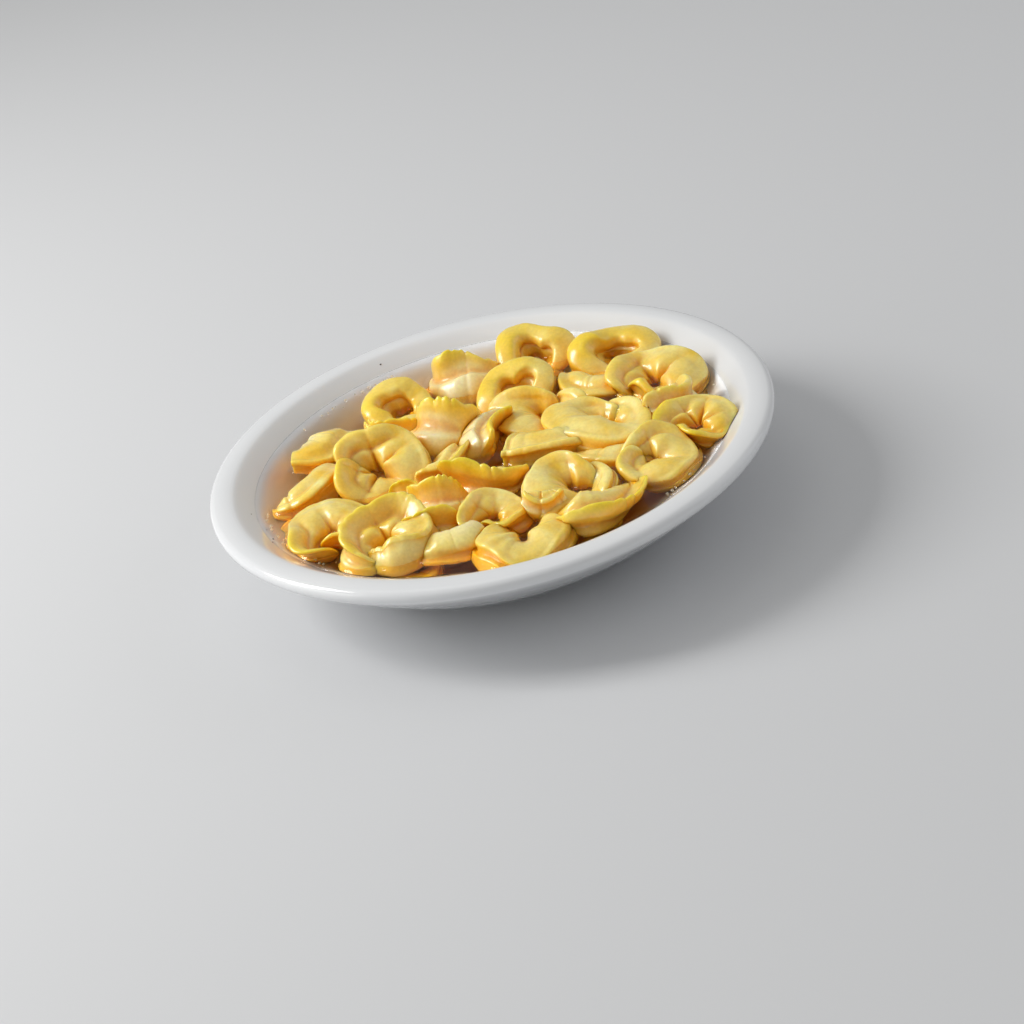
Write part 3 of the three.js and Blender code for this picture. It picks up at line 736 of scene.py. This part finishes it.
def make_dumpling(kind, seed, place, net):
    """A dumpling in its place: a ball's net drawn out along the strip and folded."""
    around, lengthwise = net
    bpy.ops.object.select_all(action="DESELECT")
    bpy.ops.mesh.primitive_uv_sphere_add(segments=around, ring_count=lengthwise, radius=1)
    piece = bpy.context.object
    ball = corners(piece)
    along = 1 - 2 * np.arccos(np.clip(ball[:, 2], -1, 1)) / math.pi
    stop = (np.arctan2(ball[:, 1], ball[:, 0]) / (2 * math.pi) % 1) * SECTION_CORNERS
    points, filled, on_brim = dumpling_points(kind, seed, along, stop)
    reshape(piece, inside_well(laid(points, *place)) * MM)
    mark(piece, "filled", filled)
    mark(piece, "brim", on_brim)
    face_out(piece)
    crinkle(piece, UNEVEN_SIZE, UNEVEN_HEIGHT)
    settle(piece, skins)
    # Painted shade: a fold is tinted amber by how deep it lies under the evened-out skin.
    mark(piece, "fold", FOLD_SHADE_TINT * smooth(hollows(piece), *FOLD_DEPTHS))
    skins.append(skin_of(piece))
    return piece


for number, (x, y, lift, faces, tilt, toward, size, name, own) in enumerate(HEAP, 1):
    place = (x, y, BROTH_LEVEL + lift, faces, tilt, toward, size)
    dumpling = make_dumpling(dict(KINDS[name], **own), number, place, DUMPLING_NET)
    dress(dumpling, f"dumpling_{number:02d}", pasta, [f"tortellino_{number:02d}"])

for number, (x, y, height, faces, size, name) in enumerate(SUNK, 1):
    place = (x, y, height, faces, 0, 0, size)
    dumpling = make_dumpling(KINDS[name], SUNK_SEED + number, place, SUNK_NET)
    dress(dumpling, f"sunk_dumpling_{number}", pasta)

# ---- broth -------------------------------------------------------------------------------------


def broth_height(points):
    """Height of the broth's surface: level, drawn up where it meets the wall and the dumplings."""
    radius = np.hypot(points[:, 0], points[:, 1])
    climb = WALL_MENISCUS * np.exp(-np.maximum(0, POOL_RADIUS - radius) / WALL_REACH)
    reach = 4 * MENISCUS_REACH
    probes = np.column_stack([points[:, 0], points[:, 1], np.full(len(points), BROTH_LEVEL + 0.5)]) * MM
    for skin, low, high in skins:
        near = ((probes > low - reach * MM) & (probes < high + reach * MM)).all(1)
        for k in np.flatnonzero(near):
            touched, _, _, distance = skin.find_nearest(Vector(probes[k]), reach * MM)
            if touched is not None:
                climb[k] = max(climb[k], MENISCUS * math.exp(-distance / MM / MENISCUS_REACH))
    return BROTH_LEVEL + climb


pool_top = [(radius, BROTH_LEVEL) for radius in np.linspace(1.5, POOL_RADIUS, POOL_RINGS)]
pool_side = [(r + INTO_WALL, z - INTO_FLOOR) for r, z in wall[::-1] if z < BROTH_LEVEL + 1]
pool_floor = [(20, WELL_FLOOR - INTO_FLOOR), (4, WELL_FLOOR - INTO_FLOOR)]
pool = turned("clear_broth", [*pool_top, *pool_side, *pool_floor], POOL_FACETS)
points = corners(pool) / MM
surface = np.abs(points[:, 2] - BROTH_LEVEL) < 0.01
points[surface, 2] = broth_height(points[surface])
reshape(pool, points * MM)
dress(pool, "clear_broth", broth, ["broth"])

# ---- bubbles and specks ------------------------------------------------------------------------


def small_balls(name, places, material, squash=1):
    """Copies of one small ball, joined into one piece, from rows of x, y, z and radius."""
    bpy.ops.object.select_all(action="DESELECT")
    bpy.ops.mesh.primitive_uv_sphere_add(segments=10, ring_count=6, radius=MM)
    bpy.ops.object.shade_smooth()
    ball = bpy.context.object
    made = []
    for x, y, z, radius in places:
        copy = ball.copy()
        copy.data = ball.data.copy()
        copy.data.transform(Matrix.Diagonal((radius, radius, radius * squash, 1)))
        copy.data.transform(Matrix.Translation((x * MM, y * MM, z * MM)))
        bpy.context.scene.collection.objects.link(copy)
        made.append(copy)
    bpy.data.objects.remove(ball)
    only(made[0])
    for copy in made:
        copy.select_set(True)
    bpy.ops.object.join()
    dress(made[0], name, material)


def on_wall(compass, height, radius):
    """A place on the well's wall."""
    reach, turn = float(well_radius(height)), math.radians(compass)
    return reach * math.cos(turn), reach * math.sin(turn), height, radius


specks = [on_wall(*speck) for speck in WALL_SPECKS]
small_balls("pepper_specks", specks, pepper, SPECK_SQUASH)

chance = np.random.default_rng(BUBBLE_SEED)
bubbles = []
stretches = chance.choice(BUBBLE_STRETCHES, BUBBLES)
for compass in stretches + chance.uniform(-HALF_STRETCH, HALF_STRETCH, BUBBLES):
    reach, turn = BUBBLE_EDGE - chance.exponential(BUBBLE_INWARD), math.radians(compass)
    place = (reach * math.cos(turn), reach * math.sin(turn), BROTH_LEVEL + BUBBLE_RISE)
    bubbles.append((*place, chance.uniform(*BUBBLE_RADII)))
small_balls("broth_bubbles", bubbles, bubble)

# ---- floor, light and camera -------------------------------------------------------------------

floor_material, tree = new_material("pale_floor")
matt = add(tree, "ShaderNodeBsdfPrincipled", {"Base Color": linear("#cfd0d2"), "Roughness": 0.7})
add(tree, "ShaderNodeOutputMaterial", links={"Surface": matt.outputs["BSDF"]})
bpy.ops.object.select_all(action="DESELECT")
bpy.ops.mesh.primitive_plane_add(size=8)
ground = bpy.context.object
ground.name = "floor"
ground.data.materials.append(floor_material)


def soft_light(name, place, width, height, watts, colour, aim=(0, 0, 0.03)):
    """A rectangular soft lamp that faces a point."""
    lamp = bpy.data.lights.new(name, "AREA")
    lamp.shape = "RECTANGLE"
    lamp.size, lamp.size_y = width, height
    lamp.energy = watts
    lamp.color = linear(colour)[:3]
    holder = bpy.data.objects.new(name, lamp)
    bpy.context.scene.collection.objects.link(holder)
    holder.location = place
    holder.rotation_euler = (Vector(aim) - Vector(place)).to_track_quat("-Z", "Y").to_euler()


soft_light("window", (-0.95, 0.2, 0.8), 0.36, 0.66, 11, "#fffefc")
soft_light("curtain", (-1.2, -0.15, 0.42), 0.9, 0.7, 3, "#fffefc")
soft_light("overhead", (-0.2, 0.3, 1.4), 0.8, 0.8, 1, "#ffffff")
soft_light("room", (1.2, 0.1, 0.6), 1, 1, 2, "#f4f6ff")

world = bpy.data.worlds.new("room")
world.use_nodes = True
bpy.context.scene.world = world
world.node_tree.nodes["Background"].inputs["Color"].default_value = linear("#f1f1ef")
world.node_tree.nodes["Background"].inputs["Strength"].default_value = 0.48
bpy.context.scene.view_settings.view_transform = "Standard"

camera = bpy.data.objects.new("camera", bpy.data.cameras.new("camera"))
bpy.context.scene.collection.objects.link(camera)
camera.data.lens, camera.data.sensor_width = 78.476, 36
camera.data.clip_start = 0.05
# The camera leans to its left, so its three directions are given.
right = (0.96983599, -0.12067869, -0.21178955)
up = (0.24374935, 0.47263555, 0.84687773)
back = (-0.00210083, -0.87295607, 0.48779432)
stand = (0, -0.712361, 0.402063)
camera.matrix_world = Matrix((*zip(right, up, back, stand), (0, 0, 0, 1)))
bpy.context.scene.camera = camera

bpy.context.view_layer.update()
